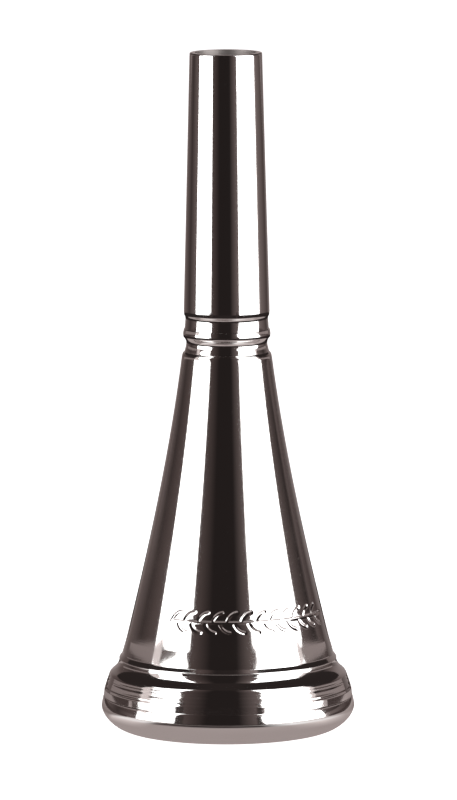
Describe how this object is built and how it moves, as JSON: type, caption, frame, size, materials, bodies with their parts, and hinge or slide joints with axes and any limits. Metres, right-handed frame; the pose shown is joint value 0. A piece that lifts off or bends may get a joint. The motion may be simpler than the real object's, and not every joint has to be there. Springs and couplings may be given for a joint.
{
  "type": "horn mouthpiece",
  "caption": "Screw-rim mouthpiece for a horn: cushioned rim, deep funnel cup, throat, backbore and tapered shank, turned in brass and silver plated.",
  "frame": {"origin": "on the mouthpiece's axis, in the plane that the rim's crown touches", "axes": "+Z along the axis from the rim to the end of the shank; X and Y are equivalent"},
  "size_m": [0.0254, 0.0254, 0.068],
  "materials": {
    "silver_plate_rim": "silver plated, mirror polish",
    "silver_plate_body": "silver plated, mirror polish"
  },
  "bodies": {
    "rim": {"rim": "silver_plate_rim"},
    "cup_body": {"cup_body": "silver_plate_body"}
  },
  "joints": [
    {"name": "rim_screw", "type": "slide", "parent": "rim", "child": "cup_body", "axis": [0, 0, 1], "range_m": [0, 0.0045]}
  ]
}
